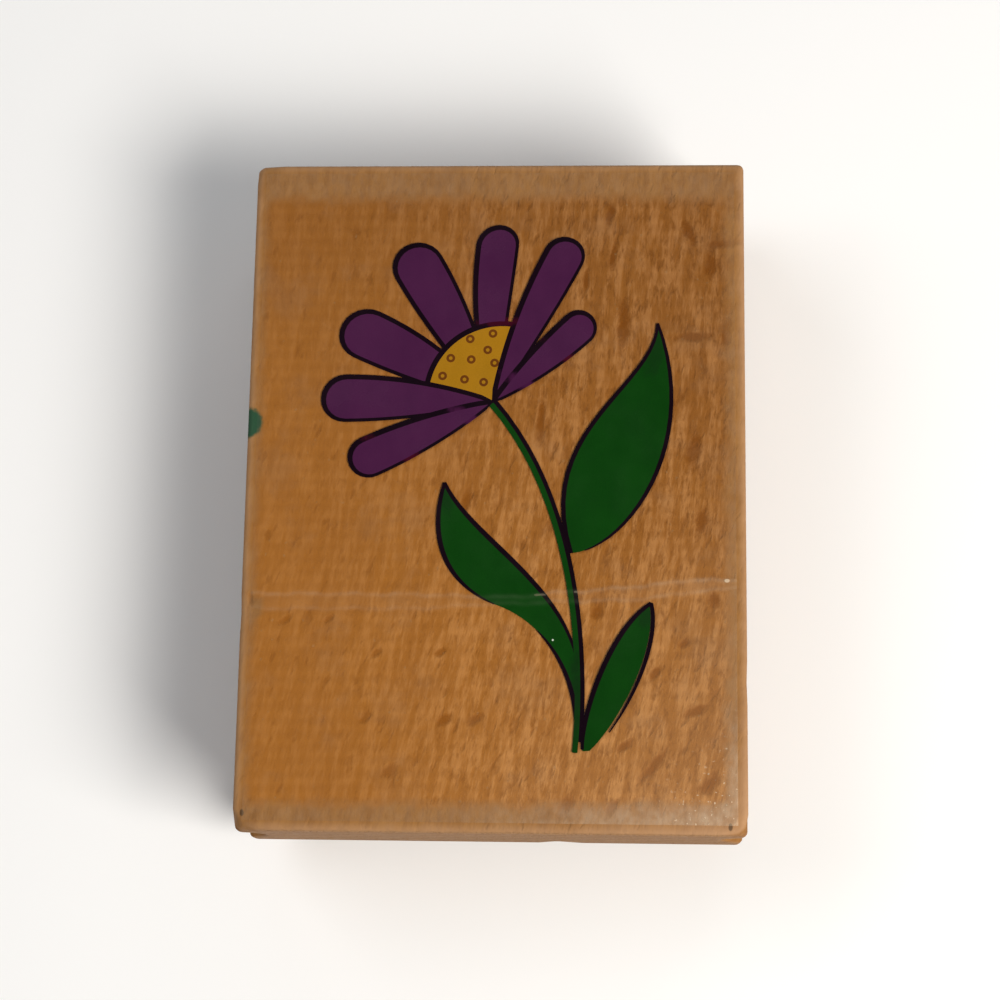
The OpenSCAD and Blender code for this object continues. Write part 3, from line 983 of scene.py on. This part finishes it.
def ink(name, deep, light, patches=(), shine=0.3, speckle=0.5):
    """Gloss ink in two tones, paler on the fold from whitening and a painted highlight, with patches
    of other colours.
    """
    material, tree, shader = new_finish(name)
    place = in_millimetres(tree)
    marks = put(tree, "Group", {"Place": place}, node_tree=HANDLING).outputs
    drape = put(tree, "Group", {"Place": place}, node_tree=DRAPE).outputs[0]
    cloud = noise(tree, place, (0.22, 0.16, 0.22), 3.0)
    grit = noise(tree, place, (7, 7, 7), 1.0)
    tone = maths(tree, "MULTIPLY_ADD", grit, speckle, maths(tree, "MULTIPLY", cloud, 1 - speckle))
    colour = mixed(tree, step_between(tree, tone, 0.35, 0.65), deep, light)
    rough = noise(tree, place, (1.1, 0.7, 1.1), 3.0, 0.65)
    for x, y, half_width, half_length, turn, tint, share in patches:
        feeds = {"Place": place, "Rough": rough, "Middle": (x, y, FILM_HIGH.z / MM),
                 "Half Size": (half_width, half_length, half_length), "Lean": math.radians(turn)}
        mask = put(tree, "Group", feeds, node_tree=FLECK).outputs[0]
        colour = stained(tree, mask, share, colour, tint)
    fold = put(tree, "Attribute", attribute_name="fold").outputs["Fac"]
    # Paler on the fold: whitening and a painted highlight
    colour = stained(tree, fold, 0.04, colour, FOLD_WHITENING_AND_HIGHLIGHT)
    tree.links.new(colour, shader.inputs["Base Color"])
    tree.links.new(step_between(tree, marks["Cloud"], 0.3, 0.7, 0.16, 0.3), shader.inputs["Roughness"])
    bump = put(tree, "Bump", {"Height": drape, "Strength": 0.3, "Distance": 0.08 * MM})
    tree.links.new(bump.outputs[0], shader.inputs["Normal"])
    shader.inputs["Specular IOR Level"].default_value = shine
    return material


def purple_ink():
    return ink("purple_print", *PURPLE)


def green_ink():
    return ink("green_print", *GREEN, GREEN_PATCHES)


def yellow_ink():
    return ink("yellow_print", *YELLOW)


def brown_ink():
    return ink("brown_print", *BROWN)


def dark_ink():
    return ink("outline_print", *DARK, OUTLINE_PATCHES, shine=0.15)


# Tape, foam and rubber: the two tones of each, then the painted shade in the foam's pits, and the
# rubber's dust and the ink that has dried on its lines
TAPE_TONES = (0.62, 0.56, 0.42, 1), (0.48, 0.42, 0.3, 1)
FOAM_TONES = (0.3, 0.31, 0.32, 1), (0.22, 0.225, 0.235, 1)
FOAM_PIT_SHADE = (0.09, 0.09, 0.1, 1)
RUBBER_TONES = (0.36, 0.07, 0.05, 1), (0.26, 0.045, 0.035, 1)
RUBBER_DUST = (0.5, 0.28, 0.24, 1)
DRIED_INK = (0.035, 0.012, 0.03, 1)


def mounting_tape():
    material, tree, shader = new_finish("mounting_tape")
    place = in_millimetres(tree)
    cloud = noise(tree, place, (0.5, 0.5, 2), 3.0)
    tree.links.new(mixed(tree, cloud, *TAPE_TONES), shader.inputs["Base Color"])
    tree.links.new(step_between(tree, cloud, 0.3, 0.7, 0.3, 0.5), shader.inputs["Roughness"])
    return material


def cushion_foam():
    material, tree, shader = new_finish("grey_cushion_foam")
    place = in_millimetres(tree)
    cells = put(tree, "TexVoronoi", {"Vector": place, "Scale": 3.2}).outputs["Distance"]
    cloud = noise(tree, place, (0.3, 0.3, 0.3), 3.0)
    colour = mixed(tree, cloud, *FOAM_TONES)
    # Painted shade in the foam's pits, where the bump dents it
    shaded_pits = step_between(tree, cells, 0.1, 0.35, 1.0, 0.0)
    colour = stained(tree, shaded_pits, 0.6, colour, FOAM_PIT_SHADE)
    tree.links.new(colour, shader.inputs["Base Color"])
    shader.inputs["Roughness"].default_value = 0.85
    bump = put(tree, "Bump", {"Height": cells, "Strength": 0.6, "Distance": 0.15 * MM})
    tree.links.new(bump.outputs[0], shader.inputs["Normal"])
    return material


def moulded_rubber():
    """Red rubber: dull and fine-grained, with dark dried ink on the printing lines."""
    material, tree, shader = new_finish("red_moulded_rubber")
    place = in_millimetres(tree)
    axes = put(tree, "SeparateXYZ", {0: place}).outputs
    marks = put(tree, "Group", {"Place": place}, node_tree=HANDLING).outputs
    cloud = noise(tree, place, (0.2, 0.2, 0.2), 4.0)
    colour = mixed(tree, cloud, *RUBBER_TONES)
    dust = noise(tree, place, (2.5, 2.5, 2.5), 3.0, 0.7)
    colour = mixed(tree, step_between(tree, dust, 0.55, 0.75, 0.0, 0.25), colour, RUBBER_DUST)
    on_face = step_between(tree, axes[2], 0.02, 0.3, 1.0, 0.0)
    stain = maths(tree, "MULTIPLY", on_face, step_between(tree, cloud, 0.3, 0.6, 0.55, 0.9))
    colour = mixed(tree, stain, colour, DRIED_INK)
    tree.links.new(colour, shader.inputs["Base Color"])
    tree.links.new(step_between(tree, marks["Cloud"], 0.3, 0.7, 0.5, 0.7), shader.inputs["Roughness"])
    grit = noise(tree, place, (6, 6, 6), 2.0)
    bump = put(tree, "Bump", {"Height": grit, "Strength": 0.4, "Distance": 0.05 * MM})
    tree.links.new(bump.outputs[0], shader.inputs["Normal"])
    return material


# ---- The stamp ----

place_camera()
light_studio()
lay_floor()
make_block()
make_label_adhesive()
label_film = make_film()
print_flower(label_film)
make_foam()
make_die()
finish_tapes()
